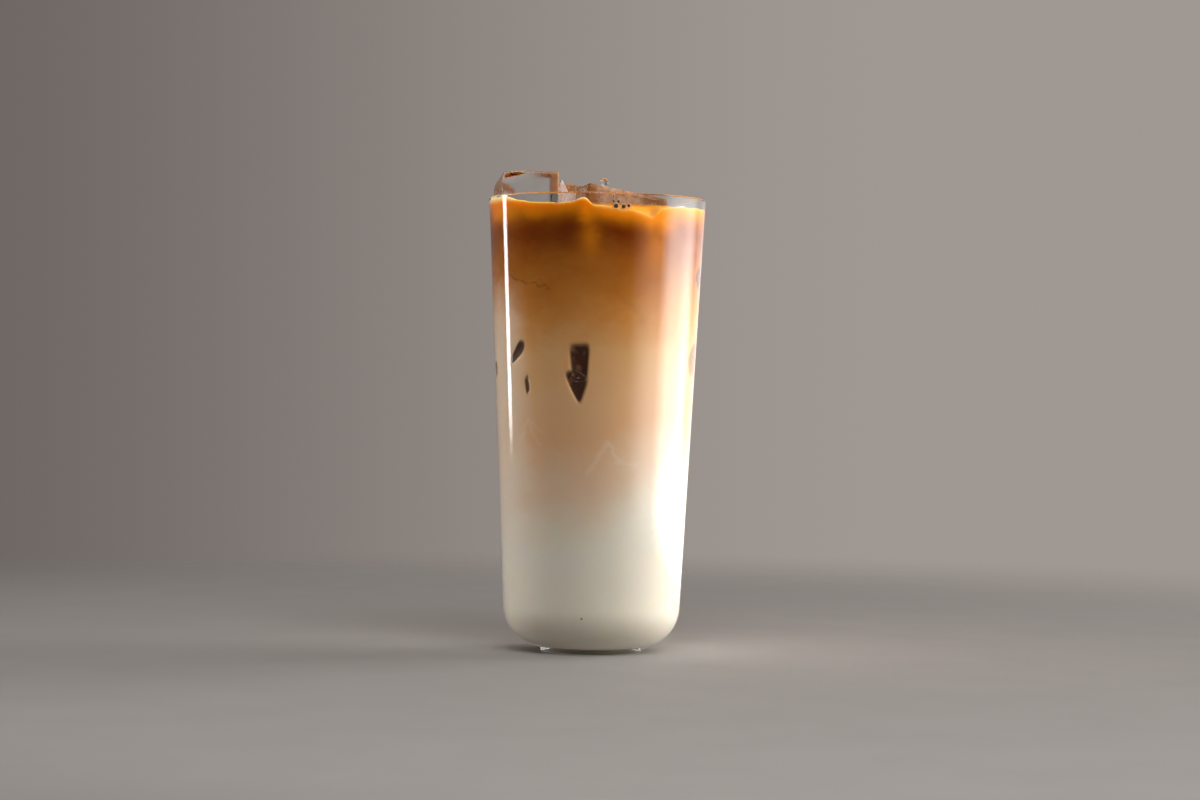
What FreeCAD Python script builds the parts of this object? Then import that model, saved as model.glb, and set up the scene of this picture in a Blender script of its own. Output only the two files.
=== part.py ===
"""Iced latte in its tall glass: a thin tapered tumbler, three layers of drink and the ice at the top.

Frame: millimetres, +Z up, origin on the table under the middle of the glass.
Every driving dimension stands in the spreadsheet "Sizes"; sketches, features and placements read it.
"""

import FreeCAD
import Part
import Sketcher
import math
import os
from FreeCAD import Vector

PARTS_FOLDER = "parts"
FULL_TURN = 360.0
CORNER_TOLERANCE = 1e-4

# What each size means is said beside it: millimetres, or degrees where the alias ends in _angle.
GLASS_SIZES = {
    "glass_height": 150.0,  # foot to rim
    "rim_diameter": 72.0,  # outside, at the rim
    "heel_diameter": 57.3,  # outside, where the straight side would meet the bottom
    "heel_round": 13.5,  # outside rounding from the side into the bottom
    "foot_diameter": 33.6,  # the low disc that stands on the table
    "foot_height": 0.5,
    "foot_root": 1.0,  # how far the disc runs up into the bottom
    "foot_round": 0.2,  # its lower edge
    "punt_diameter": 27.0,  # shallow hollow under the foot
    "punt_depth": 0.9,
    "wall": 1.3,  # measured square to the side
    "floor_thickness": 4.0,  # table to the inner floor
    "inner_heel_round": 11.5,
    "lip_round": 0.55,  # each edge of the rim
}
DRINK_SIZES = {
    "wall_clearance": 0.15,  # drink to glass
    "level_drop": 3.5,  # rim down to the level surface
    "meniscus_rise": 0.6,  # how far the surface climbs at the wall
    "meniscus_run": 1.6,  # how wide that climb is
    "milk_depth": 43.0,  # inner floor up to the mean top of the milk
    "espresso_depth": 12.2,  # level down to the mean bottom of the espresso
    "milk_swell": 2.6,  # height of the swells on top of the milk
    "milk_lean": 6.0,  # how much higher the milk stands at +X than at -X
    "espresso_swell": 1.8,
    "espresso_lean": -3.0,
    "swell_length": 46.0,  # one swell to the next
}
ICE_SIZES = {
    "left": {
        "width": 18.0,
        "depth": 20.0,
        "height": 24.0,
        "round": 2.6,
        "wall_run": 0.0,  # along the wall from the first bearing to this cube's, turning left
        "wall_gap": -2.4,  # glass to the circle round its corners; below 0 if these turn aside
        "rise": 9.2,  # rim up to the middle of the cube's top
        "turn_angle": 10.3,  # from straight outwards
        "lean_angle": 3.5,  # about its own Y axis
        "nod_angle": -1.0,  # about its own X axis
    },
    "right": {
        "width": 24.0,
        "depth": 17.0,
        "height": 22.0,
        "round": 2.2,
        "wall_run": 63.2,
        "wall_gap": -0.9,
        "rise": 0.9,
        "turn_angle": 76.0,
        "lean_angle": 8.0,
        "nod_angle": -1.0,
    },
    "back": {
        "width": 22.0,
        "depth": 19.0,
        "height": 22.0,
        "round": 2.8,
        "wall_run": -59.2,
        "wall_gap": 1.4,
        "rise": 5.9,
        "turn_angle": -126.0,
        "lean_angle": 4.0,
        "nod_angle": -4.0,
    },
}
SHARED_ICE_SIZES = {
    "first_bearing_angle": 192.7,  # of the left cube, from the +X axis towards +Y
    "draft_angle": 1.0,  # each side of a cube leans in by this towards its top
}

SWELL_GRID = 9  # points along each side of a layer's wavy surface
LAYER_MARGIN = 4.0  # how far a layer tool reaches past the glass all round


def cell_name(row):
    """The name of the sheet's value cell on a row counted from 1."""
    return f"B{row}"


def make_sheet(document):
    """Writes every driving dimension into the spreadsheet and returns it."""
    sheet = document.addObject("Spreadsheet::Sheet", "Sizes")
    rows = {**GLASS_SIZES, **DRINK_SIZES, **SHARED_ICE_SIZES}
    for cube, sizes in ICE_SIZES.items():
        rows.update({f"{cube}_{alias}": value for alias, value in sizes.items()})
    for row, (alias, value) in enumerate(rows.items(), start=1):
        sheet.set(f"A{row}", alias)
        sheet.set(cell_name(row), str(value))
        sheet.setAlias(cell_name(row), alias)
    document.recompute()
    return sheet


def open_sketch(body, name, role):
    """An empty sketch on the body's own origin plane of that role."""
    plane = next(plane for plane in body.Origin.OriginFeatures if plane.Role == role)
    sketch = body.newObject("Sketcher::SketchObject", name)
    sketch.AttachmentSupport = [(plane, "")]
    sketch.MapMode = "FlatFace"
    return sketch


class Outline:
    """A closed outline in the XZ plane of a body, drawn roughly and then constrained by sizes."""

    ORIGIN = (-1, 1)  # the sketch's own origin point
    X_AXIS = -1
    Z_AXIS = -2

    def __init__(self, body, name):
        """Makes an empty sketch on the body's own XZ plane."""
        self.sketch = open_sketch(body, name, "XZ_Plane")

    def polygon(self, points, arcs=None):
        """Draws edges through the points and closes them. arcs maps an edge to the arc's centre."""
        arcs = arcs or {}
        corners = [Vector(x, z, 0) for x, z in points]
        for edge, start in enumerate(corners):
            end = corners[(edge + 1) % len(corners)]
            if edge in arcs:
                self.sketch.addGeometry(self.drawn_arc(start, end, arcs[edge]))
            else:
                self.sketch.addGeometry(Part.LineSegment(start, end))
        for edge in range(len(corners)):
            following = (edge + 1) % len(corners)
            end, start = self.end_of(edge, arcs), self.start_of(following, arcs)
            self.rule("Coincident", edge, end, following, start)

    def drawn_arc(self, start, end, centre):
        """The short arc from start to end about the centre."""
        middle = Vector(centre[0], centre[1], 0)
        radius = (start - middle).Length
        from_middle = [start - middle, end - middle]
        halfway = (from_middle[0].normalize() + from_middle[1].normalize()).normalize() * radius
        return Part.Arc(start, middle + halfway, end)

    def start_of(self, edge, arcs):
        """Which end of the edge is its first corner: an arc drawn clockwise has its ends swapped."""
        return 2 if edge in arcs and self.is_clockwise(edge) else 1

    def end_of(self, edge, arcs):
        """Which end of the edge is its second corner."""
        return 1 if edge in arcs and self.is_clockwise(edge) else 2

    def is_clockwise(self, edge):
        """True for an arc whose stored axis points away from the sketch's normal."""
        return self.sketch.Geometry[edge].Circle.Axis.z < 0

    def rule(self, kind, *where):
        """Adds a constraint without a size."""
        self.sketch.addConstraint(Sketcher.Constraint(kind, *where))

    def size(self, kind, where, start_value, expression):
        """Adds a constraint whose size follows the sheet."""
        index = self.sketch.addConstraint(Sketcher.Constraint(kind, *where, start_value))
        self.sketch.setExpression(f"Constraints[{index}]", expression)

    def line(self, start, end):
        """Adds a construction line and returns its index."""
        return self.sketch.addGeometry(Part.LineSegment(Vector(*start, 0), Vector(*end, 0)), True)


def revolve(body, sketch):
    """Turns a sketch all the way round the body's Z axis."""
    turned = body.newObject("PartDesign::Revolution", f"{sketch.Name}_turned")
    turned.Profile = sketch
    turned.ReferenceAxis = (sketch, ["V_Axis"])
    turned.Angle = FULL_TURN
    body.Document.recompute()
    return turned


def round_edges(body, name, wanted, expression):
    """Rounds the edges of the body's tip that wanted(edge) picks, by a radius from the sheet."""
    tip = body.Tip
    picked = [f"Edge{i}" for i, edge in enumerate(tip.Shape.Edges, start=1) if wanted(edge)]
    if not picked:
        raise ValueError(f"{name}: no edge to round")
    fillet = body.newObject("PartDesign::Fillet", name)
    fillet.Base = (tip, picked)
    fillet.setExpression("Radius", expression)
    body.Document.recompute()
    return fillet


def is_ring_at(edge, height, radius):
    """True for a full circle about the Z axis at that height and radius."""
    box = edge.BoundBox
    misses = (abs(box.ZMin - height), abs(box.ZMax - height), abs(box.XMax - radius))
    return max(misses) < CORNER_TOLERANCE


def widest_ring(shape, height):
    """The radius of the widest circle about the Z axis at a height."""
    reaches = [edge.BoundBox.XMax for edge in shape.Edges]
    return max(reach for edge, reach in zip(shape.Edges, reaches) if is_ring_at(edge, height, reach))


def side_radius(sizes, height):
    """Outside radius of the straight side, carried down past the heel, at a height."""
    heel, rim = sizes.heel_diameter / 2, sizes.rim_diameter / 2
    share = (height - sizes.foot_height) / (sizes.glass_height - sizes.foot_height)
    return heel + (rim - heel) * share


def make_glass(document, sizes):
    """The tumbler: an outline turned round the axis, then rounded, then its low foot."""
    body = document.addObject("PartDesign::Body", "Glass")
    body.Label = "glass"
    rim, floor = side_radius(sizes, sizes.glass_height), sizes.floor_thickness
    heel, bottom_height = sizes.heel_diameter / 2, sizes.foot_height
    outline = Outline(body, "glass_outline")
    outline.polygon(
        [
            (0, bottom_height),
            (heel, bottom_height),
            (rim, sizes.glass_height),
            (rim - sizes.wall, sizes.glass_height),
            (side_radius(sizes, floor) - sizes.wall, floor),
            (0, floor),
        ]
    )
    bottom, side, lip, inside, inner_floor, middle = range(6)
    origin = outline.ORIGIN
    outline.rule("PointOnObject", middle, 1, outline.Z_AXIS)
    outline.rule("PointOnObject", middle, 2, outline.Z_AXIS)
    for level_edge in (bottom, lip, inner_floor):
        outline.rule("Horizontal", level_edge)
    outline.rule("Parallel", side, inside)
    outline.size("DistanceY", (*origin, bottom, 2), bottom_height, "Sizes.foot_height")
    outline.size("DistanceX", (*origin, side, 1), heel, "Sizes.heel_diameter / 2")
    outline.size("DistanceX", (*origin, side, 2), rim, "Sizes.rim_diameter / 2")
    outline.size("DistanceY", (*origin, side, 2), sizes.glass_height, "Sizes.glass_height")
    outline.size("DistanceY", (*origin, middle, 1), floor, "Sizes.floor_thickness")
    outline.size("Distance", (inside, 1, side), sizes.wall, "Sizes.wall")
    document.recompute()
    revolve(body, outline.sketch)
    round_edges(
        body, "heel_rounding", lambda edge: is_ring_at(edge, bottom_height, heel), "Sizes.heel_round"
    )
    inner_corner = widest_ring(body.Tip.Shape, floor)
    round_edges(
        body,
        "inner_heel_rounding",
        lambda edge: is_ring_at(edge, floor, inner_corner),
        "Sizes.inner_heel_round",
    )
    round_edges(
        body,
        "lip_rounding",
        lambda edge: edge.BoundBox.ZMin > sizes.glass_height - CORNER_TOLERANCE,
        "Sizes.lip_round",
    )
    add_foot(body, sizes)
    return body


def add_foot(body, sizes):
    """The low disc under the bottom, run up into it, and the shallow hollow in its middle."""
    disc = open_sketch(body, "foot_outline", "XY_Plane")
    circle = disc.addGeometry(Part.Circle(Vector(0, 0, 0), Vector(0, 0, 1), sizes.foot_diameter / 2))
    disc.addConstraint(Sketcher.Constraint("Coincident", circle, 3, *Outline.ORIGIN))
    width = disc.addConstraint(Sketcher.Constraint("Diameter", circle, sizes.foot_diameter))
    disc.setExpression(f"Constraints[{width}]", "Sizes.foot_diameter")
    foot = body.newObject("PartDesign::Pad", "foot")
    foot.Profile = disc
    foot.setExpression("Length", "Sizes.foot_height + Sizes.foot_root")
    body.Document.recompute()
    foot_edge = sizes.foot_diameter / 2
    round_edges(body, "foot_rounding", lambda edge: is_ring_at(edge, 0, foot_edge), "Sizes.foot_round")
    solid_volume = body.Tip.Shape.Volume

    punt, depth = sizes.punt_diameter / 2, sizes.punt_depth
    hollow = Outline(body, "punt_outline")
    hollow.polygon([(0, depth), (punt, 0), (0, 0)], arcs={0: (0, (depth**2 - punt**2) / (2 * depth))})
    roof, floor_edge, middle = range(3)
    hollow.rule("Coincident", middle, 1, *hollow.ORIGIN)
    hollow.rule("Vertical", middle)
    hollow.rule("Horizontal", floor_edge)
    hollow.rule("PointOnObject", roof, 3, hollow.Z_AXIS)
    hollow.size("DistanceX", (*hollow.ORIGIN, floor_edge, 1), punt, "Sizes.punt_diameter / 2")
    hollow.size("DistanceY", (*hollow.ORIGIN, middle, 2), depth, "Sizes.punt_depth")
    groove = body.newObject("PartDesign::Groove", "punt")
    groove.Profile = hollow.sketch
    groove.ReferenceAxis = (hollow.sketch, ["V_Axis"])
    groove.Angle = FULL_TURN
    body.Document.recompute()
    if body.Tip.Shape.Volume >= solid_volume:
        raise RuntimeError("the hollow under the foot cut nothing")


def make_fill(document, sizes):
    """The whole drink up to its level, with the surface climbing a little at the wall."""
    body = document.addObject("PartDesign::Body", "Fill")
    body.Label = "fill"
    bottom = sizes.floor_thickness + sizes.wall_clearance
    level = sizes.glass_height - sizes.level_drop
    shoulder = level + sizes.meniscus_rise
    inset = sizes.wall + sizes.wall_clearance
    wall_low, wall_high = side_radius(sizes, bottom) - inset, side_radius(sizes, shoulder) - inset
    run_start = wall_high - sizes.meniscus_run
    climb_radius = (sizes.meniscus_run**2 + sizes.meniscus_rise**2) / (2 * sizes.meniscus_rise)
    outline = Outline(body, "fill_outline")
    outline.polygon(
        [(0, bottom), (wall_low, bottom), (wall_high, shoulder), (run_start, level), (0, level)],
        arcs={2: (run_start, level + climb_radius)},
    )
    floor_edge, side, climb, surface, middle = range(5)
    heel, rim = sizes.heel_diameter / 2, sizes.rim_diameter / 2
    glass_side = outline.line((heel, sizes.foot_height), (rim, sizes.glass_height))
    origin = outline.ORIGIN
    outline.rule("PointOnObject", middle, 1, outline.Z_AXIS)
    outline.rule("PointOnObject", middle, 2, outline.Z_AXIS)
    outline.rule("Horizontal", floor_edge)
    outline.rule("Horizontal", surface)
    outline.rule("Parallel", side, glass_side)
    outline.size("DistanceX", (*origin, glass_side, 1), heel, "Sizes.heel_diameter / 2")
    outline.size("DistanceY", (*origin, glass_side, 1), sizes.foot_height, "Sizes.foot_height")
    outline.size("DistanceX", (*origin, glass_side, 2), rim, "Sizes.rim_diameter / 2")
    outline.size("DistanceY", (*origin, glass_side, 2), sizes.glass_height, "Sizes.glass_height")
    lowest = "Sizes.floor_thickness + Sizes.wall_clearance"
    outline.size("DistanceY", (*origin, floor_edge, 1), bottom, lowest)
    outline.size("DistanceY", (*origin, middle, 1), level, "Sizes.glass_height - Sizes.level_drop")
    outline.size("Distance", (side, 1, glass_side), inset, "Sizes.wall + Sizes.wall_clearance")
    outline.size("DistanceY", (surface, 1, side, 2), sizes.meniscus_rise, "Sizes.meniscus_rise")
    outline.size("DistanceX", (surface, 1, side, 2), sizes.meniscus_run, "Sizes.meniscus_run")
    outline.rule("Vertical", climb, 3, surface, 1)
    document.recompute()
    revolve(body, outline.sketch)
    corner = widest_ring(body.Tip.Shape, bottom)
    round_edges(
        body,
        "fill_heel_rounding",
        lambda edge: is_ring_at(edge, bottom, corner),
        "Sizes.inner_heel_round - Sizes.wall_clearance",
    )
    return body


def swell_height(along, across, length):
    """Two crossing trains of swells, between -1 and 1: a sum of two sines along slanting lines."""
    turn = 2 * math.pi / length
    first = math.sin(turn * (along + 0.3 * across) + 0.6)
    second = math.sin(turn * (0.8 * across - 0.4 * along) + 2.1)
    return 0.6 * first + 0.4 * second


def make_layer_tool(document, sizes, name, mean_height, swell, lean):
    """A block from below the glass up to a wavy, leaning surface: what lies under a layer's top."""
    reach = sizes.rim_diameter / 2 + LAYER_MARGIN
    step = 2 * reach / (SWELL_GRID - 1)
    stations = [-reach + step * i for i in range(SWELL_GRID)]

    def height(along, across):
        leaning = lean * along / (2 * reach)
        return mean_height + leaning + swell * swell_height(along, across, sizes.swell_length)

    rows = [[Vector(along, across, height(along, across)) for across in stations] for along in stations]
    surface = Part.BSplineSurface()
    surface.interpolate(rows)
    tool = document.addObject("Part::Feature", name)
    tool.Shape = surface.toShape().extrude(Vector(0, 0, -(mean_height + LAYER_MARGIN)))
    return tool


def make_cube(document, name):
    """One ice cube with drafted sides and rounded edges, set where it stands out of the drink."""
    body = document.addObject("PartDesign::Body", f"Ice_{name}")
    body.Label = f"ice_{name}"
    sketch = open_sketch(body, f"ice_{name}_outline", "XY_Plane")
    cube = ICE_SIZES[name]
    half_width, half_depth = cube["width"] / 2, cube["depth"] / 2
    corners = [
        Vector(-half_width, -half_depth, 0),
        Vector(half_width, -half_depth, 0),
        Vector(half_width, half_depth, 0),
        Vector(-half_width, half_depth, 0),
    ]
    for edge in range(4):
        sketch.addGeometry(Part.LineSegment(corners[edge], corners[(edge + 1) % 4]))
    for edge in range(4):
        sketch.addConstraint(Sketcher.Constraint("Coincident", edge, 2, (edge + 1) % 4, 1))
    for edge in (0, 2):
        sketch.addConstraint(Sketcher.Constraint("Horizontal", edge))
    for edge in (1, 3):
        sketch.addConstraint(Sketcher.Constraint("Vertical", edge))
    sketch.addConstraint(Sketcher.Constraint("Symmetric", 0, 1, 1, 2, -1, 1))
    for kind, edge, length in (("DistanceX", 0, "width"), ("DistanceY", 1, "depth")):
        index = sketch.addConstraint(Sketcher.Constraint(kind, edge, 1, edge, 2, cube[length]))
        sketch.setExpression(f"Constraints[{index}]", f"Sizes.{name}_{length}")
    block = body.newObject("PartDesign::Pad", f"ice_{name}_block")
    block.Profile = sketch
    block.setExpression("Length", f"Sizes.{name}_height")
    block.setExpression("TaperAngle", "-Sizes.draft_angle")
    document.recompute()
    round_edges(body, f"ice_{name}_rounding", lambda edge: True, f"Sizes.{name}_round")
    place_cube(body, name)
    return body


def place_cube(body, name):
    """Turns a cube and sets the middle of its top, by its gap to the wall and its way along it."""
    inner_rim = "(Sizes.rim_diameter / 2 - Sizes.wall)"
    half_diagonal = f"hypot(Sizes.{name}_width; Sizes.{name}_depth) / 2"
    out = f"({inner_rim} - Sizes.{name}_wall_gap - {half_diagonal})"
    bearing = f"(Sizes.first_bearing_angle + Sizes.{name}_wall_run / {inner_rim} * 180 / pi)"
    height = f"Sizes.glass_height + Sizes.{name}_rise"
    top = f"vector({out} * cos({bearing}); {out} * sin({bearing}); {height})"
    yaw = f"{bearing} + Sizes.{name}_turn_angle"
    turn = f"rotation({yaw}; Sizes.{name}_lean_angle; Sizes.{name}_nod_angle)"
    down = f"placement(vector(0; 0; -Sizes.{name}_height); rotation(0; 0; 0))"
    body.setExpression("Placement", f"placement({top}; {turn}) * {down}")
    body.Document.recompute()


def boolean(document, kind, name, base, tool):
    """A Part::Cut or Part::Common of two objects."""
    made = document.addObject(f"Part::{kind}", name)
    made.Base = base
    made.Tool = tool
    return made


def make_drink(document, sizes, cubes):
    """The three layers of the drink, each running right through it, cut round the ice."""
    fill = make_fill(document, sizes)
    milk_top = sizes.floor_thickness + sizes.milk_depth
    espresso_bottom = sizes.glass_height - sizes.level_drop - sizes.espresso_depth
    under_latte = make_layer_tool(
        document, sizes, "under_latte", milk_top, sizes.milk_swell, sizes.milk_lean
    )
    under_espresso = make_layer_tool(
        document, sizes, "under_espresso", espresso_bottom, sizes.espresso_swell, sizes.espresso_lean
    )
    ice = document.addObject("Part::MultiFuse", "ice_together")
    ice.Shapes = cubes
    milk = boolean(document, "Common", "Milk", fill, under_latte)
    above_milk = boolean(document, "Cut", "above_milk", fill, under_latte)
    latte_block = boolean(document, "Common", "latte_block", above_milk, under_espresso)
    latte = boolean(document, "Cut", "Latte", latte_block, ice)
    espresso_block = boolean(document, "Cut", "espresso_block", above_milk, under_espresso)
    espresso = boolean(document, "Cut", "Espresso", espresso_block, ice)
    document.recompute()
    layers = {"milk": milk, "latte": latte, "espresso": espresso}
    for label, layer in layers.items():
        layer.Label = label
    return list(layers.values())


def check_document(document):
    """Stops if any object failed to compute."""
    failed = [o.Name for o in document.Objects if {"Invalid", "Error"} & set(o.State)]
    if failed:
        raise RuntimeError(f"these objects failed: {failed}")


def export(parts):
    """Writes each sub-part's solid to parts/LABEL.step after checking it."""
    os.makedirs(PARTS_FOLDER, exist_ok=True)
    for part in parts:
        shape = part.Shape
        if shape.isNull() or not shape.isValid() or not shape.Solids:
            raise RuntimeError(f"{part.Label} has no valid solid")
    for part in parts:
        part.Shape.exportStep(os.path.join(PARTS_FOLDER, f"{part.Label}.step"))
        print(f"{part.Label}: {len(part.Shape.Solids)} solid, {part.Shape.Volume / 1000:.1f} cm3")


def main():
    """Builds the document and writes the sub-parts."""
    document = FreeCAD.newDocument("IcedLatte")
    sizes = make_sheet(document)
    glass = make_glass(document, sizes)
    cubes = [make_cube(document, name) for name in ICE_SIZES]
    layers = make_drink(document, sizes, cubes)
    document.recompute()
    check_document(document)
    export([glass, *layers, *cubes])


main()
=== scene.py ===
"""Iced latte in its glass: the finished tumbler, drink and ice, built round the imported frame.

All sizes are metres in the frame's own axes: +Z up, the shown side towards -Y. Bearings are degrees
round the glass, 0 towards -Y and growing towards +X.
"""
import logging
import math
from dataclasses import dataclass, field
from enum import Enum
from functools import cached_property
from typing import Callable, Sequence

import bpy
import numpy as np
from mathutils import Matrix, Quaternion, Vector


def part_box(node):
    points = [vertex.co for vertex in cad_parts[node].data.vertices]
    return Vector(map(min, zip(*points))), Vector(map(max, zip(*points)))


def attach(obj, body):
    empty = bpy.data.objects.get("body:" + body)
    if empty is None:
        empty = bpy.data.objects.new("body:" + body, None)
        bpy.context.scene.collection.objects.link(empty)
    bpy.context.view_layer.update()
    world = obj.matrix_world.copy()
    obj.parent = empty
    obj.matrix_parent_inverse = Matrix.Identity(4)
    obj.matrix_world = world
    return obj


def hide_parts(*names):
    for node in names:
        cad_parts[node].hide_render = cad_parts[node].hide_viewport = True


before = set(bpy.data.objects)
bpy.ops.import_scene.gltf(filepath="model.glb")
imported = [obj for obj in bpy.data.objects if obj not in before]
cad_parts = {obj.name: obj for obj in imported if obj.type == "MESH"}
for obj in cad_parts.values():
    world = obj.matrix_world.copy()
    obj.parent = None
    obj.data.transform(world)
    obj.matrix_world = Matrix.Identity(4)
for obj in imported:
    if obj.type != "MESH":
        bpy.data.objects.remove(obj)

Array = np.ndarray
Colour = tuple[float, float, float]
Number = int | float
Skin = tuple[Array, list[list[int]]]  # vertices and faces
Socket = bpy.types.NodeSocket

MM = 0.001
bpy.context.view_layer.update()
LOG = logging.getLogger("iced_latte")


# ---------------------------------------------------------------- shared shapes


def smooth_ramp(low: float, high: float, x: Array) -> Array:
    """Rises from 0 at low to 1 at high as 3t^2 - 2t^3, with t = (x - low) / (high - low) held to 0..1.

    Args:
        low: where the ramp starts; high: where it ends, below low for a falling ramp.
        x: the values to map.

    Returns:
        The ramp's height at each value.
    """
    t = np.clip((x - low) / (high - low), 0.0, 1.0)
    return t * t * (3.0 - 2.0 * t)


def rounded_outline(corners: Sequence[tuple[float, float]], radii: Sequence[float], steps: int) -> Array:
    """An outline of straight runs whose inner corners are arcs tangent to both runs.

    For a corner turning by a, the arc starts r tan(a / 2) before it, and its points are
    centre + r (cos t, sin t) for t between the two tangent points.

    Args:
        corners: (radius, height) points in order.
        radii: the arc radius at each corner, 0 for a sharp one; the ends are always sharp.
        steps: how many spans each arc has.

    Returns:
        The outline's points, one (radius, height) pair a row.
    """
    points = np.asarray(corners, float)
    pieces = [points[:1]]
    for before, here, after, radius in zip(points[:-2], points[1:-1], points[2:], radii[1:-1]):
        if radius <= 0:
            pieces.append(here[None])
            continue
        arrive = (here - before) / np.linalg.norm(here - before)
        leave = (after - here) / np.linalg.norm(after - here)
        turn = math.atan2(arrive[0] * leave[1] - arrive[1] * leave[0], float(arrive @ leave))
        side = math.copysign(1.0, turn)
        start = here - arrive * radius * math.tan(abs(turn) / 2)
        outward = np.array([arrive[1], -arrive[0]]) * side
        angles = math.atan2(outward[1], outward[0]) + np.linspace(0.0, turn, steps + 1)
        centre = start - outward * radius
        pieces.append(centre + radius * np.stack([np.cos(angles), np.sin(angles)], axis=1))
    pieces.append(points[-1:])
    return np.concatenate(pieces)


def refined(outline: Array, spacing: float) -> Array:
    """The same outline with its long runs split evenly.

    Args:
        outline: (radius, height) points.
        spacing: the longest span left.

    Returns:
        The outline's old points with new ones between them.
    """
    lengths = np.linalg.norm(np.diff(outline, axis=0), axis=1)
    travelled = np.concatenate([[0.0], np.cumsum(lengths)])
    counts = np.maximum(1, np.ceil(lengths / spacing)).astype(int)
    marks = [np.linspace(a, b, n, endpoint=False) for a, b, n in zip(travelled[:-1], travelled[1:], counts)]
    at = np.concatenate([*marks, travelled[-1:]])
    return np.stack([np.interp(at, travelled, outline[:, axis]) for axis in (0, 1)], axis=1)


def new_piece(name: str, vertices: Array, faces: Sequence[Sequence[int]],
              sharp_above: float = 60.0) -> bpy.types.Object:
    """A smooth-shaded mesh object at the origin, with its place in its vertices.

    Args:
        name: the piece's name.
        vertices: one point a row.
        faces: corner numbers of each face, counter-clockwise from outside.
        sharp_above: edges that bend by more degrees than this stay sharp.

    Returns:
        The new object.
    """
    mesh = bpy.data.meshes.new(name)
    mesh.from_pydata(np.asarray(vertices).reshape(-1, 3).tolist(), [], faces)
    mesh.polygons.foreach_set("use_smooth", np.ones(len(mesh.polygons), bool))
    mesh.set_sharp_from_angle(angle=math.radians(sharp_above))
    mesh.update()
    piece = bpy.data.objects.new(name, mesh)
    bpy.context.scene.collection.objects.link(piece)
    return piece


def closed_rings(rings: Array) -> Skin:
    """Joins a grid of rings into a closed skin, its first and last rings shrunk to poles.

    The quad between rings i and i + 1 and between bearings j and j + 1 is
    (i, j), (i, j + 1), (i + 1, j + 1), (i + 1, j); the poles have fans of triangles.

    Args:
        rings: points as (ring, bearing, xyz), with the bearing growing anticlockwise from above.

    Returns:
        The vertices and the faces.
    """
    count, around = rings.shape[:2]
    inner = rings[1:-1].reshape(-1, 3)
    vertices = np.concatenate([rings[:1, 0], inner, rings[-1:, 0]])
    column = np.arange(around)
    beside = (column + 1) % around
    low = 1 + np.arange(count - 3)[:, None] * around
    quads = np.stack([low + column, low + beside, low + around + beside, low + around + column], axis=-1)
    first_ring, last_ring, top = 1 + column, 1 + (count - 3) * around + column, len(vertices) - 1
    bottom_fan = np.stack([np.zeros(around, int), 1 + beside, first_ring], axis=-1)
    top_fan = np.stack([last_ring, 1 + (count - 3) * around + beside, np.full(around, top)], axis=-1)
    return vertices, [*bottom_fan.tolist(), *quads.reshape(-1, 4).tolist(), *top_fan.tolist()]


def joined(skins: Sequence[Skin]) -> Skin:
    """Puts several skins into one mesh, each left separate in it.

    Args:
        skins: (vertices, faces) of each.

    Returns:
        All the vertices and all the faces, renumbered.
    """
    starts = np.cumsum([0] + [len(vertices) for vertices, _ in skins])
    faces = [
        [corner + int(start) for corner in face] for start, (_, some) in zip(starts, skins) for face in some
    ]
    return np.concatenate([vertices for vertices, _ in skins]), faces


def turned(outline: Array, around: int) -> Array:
    """Carries an outline round the Z axis: (r cos a, r sin a, z) for evenly spaced a.

    Args:
        outline: (radius, height) points; around: how many bearings.

    Returns:
        Points as (ring, bearing, xyz).
    """
    angle = np.linspace(0.0, 2 * math.pi, around, endpoint=False)
    radius, height = outline[:, :1], outline[:, 1:]
    return np.stack([radius * np.cos(angle), radius * np.sin(angle), height + 0 * angle], axis=-1)


def cube_sphere(cells: int) -> Skin:
    """Directions over a sphere, from a cube whose six faces are grids of equal angles.

    Each face's point is (1, tan a, tan b) with a and b from -45 to 45 degrees, turned to its side
    and scaled to length 1; points shared by two faces are merged.

    Args:
        cells: spans along a cube edge.

    Returns:
        The unit directions and the quads between them.
    """
    slope = np.tan(np.linspace(-math.pi / 4, math.pi / 4, cells + 1))
    across, up = np.meshgrid(slope, slope, indexing="ij")
    ones = np.ones_like(across)
    sides = [
        (ones, across, up), (-ones, -across, up), (-across, ones, up),
        (across, -ones, up), (across, up, ones), (-across, up, -ones),
    ]
    points = np.stack([np.stack(side, axis=-1) for side in sides]).reshape(-1, 3)
    grid = np.arange((cells + 1) ** 2).reshape(cells + 1, cells + 1)
    cell = np.stack([grid[:-1, :-1], grid[1:, :-1], grid[1:, 1:], grid[:-1, 1:]], axis=-1).reshape(-1, 4)
    quads = (np.arange(6)[:, None, None] * grid.size + cell).reshape(-1, 4)
    _, first, merged = np.unique(np.round(points, 9), axis=0, return_index=True, return_inverse=True)
    directions = points[first] / np.linalg.norm(points[first], axis=1, keepdims=True)
    return directions, merged.reshape(-1)[quads].tolist()


def turn_matrix(yaw: float, lean: float, nod: float) -> Array:
    """The turn Rz(yaw) Ry(lean) Rx(nod), from degrees.

    Args:
        yaw, lean, nod: turns about Z, Y and X.

    Returns:
        A 3 by 3 matrix.
    """
    (cz, cy, cx), (sz, sy, sx) = (f(np.radians([yaw, lean, nod])) for f in (np.cos, np.sin))
    about_z = np.array([[cz, -sz, 0], [sz, cz, 0], [0, 0, 1]])
    about_y = np.array([[cy, 0, sy], [0, 1, 0], [-sy, 0, cy]])
    about_x = np.array([[1, 0, 0], [0, cx, -sx], [0, sx, cx]])
    return about_z @ about_y @ about_x


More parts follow.
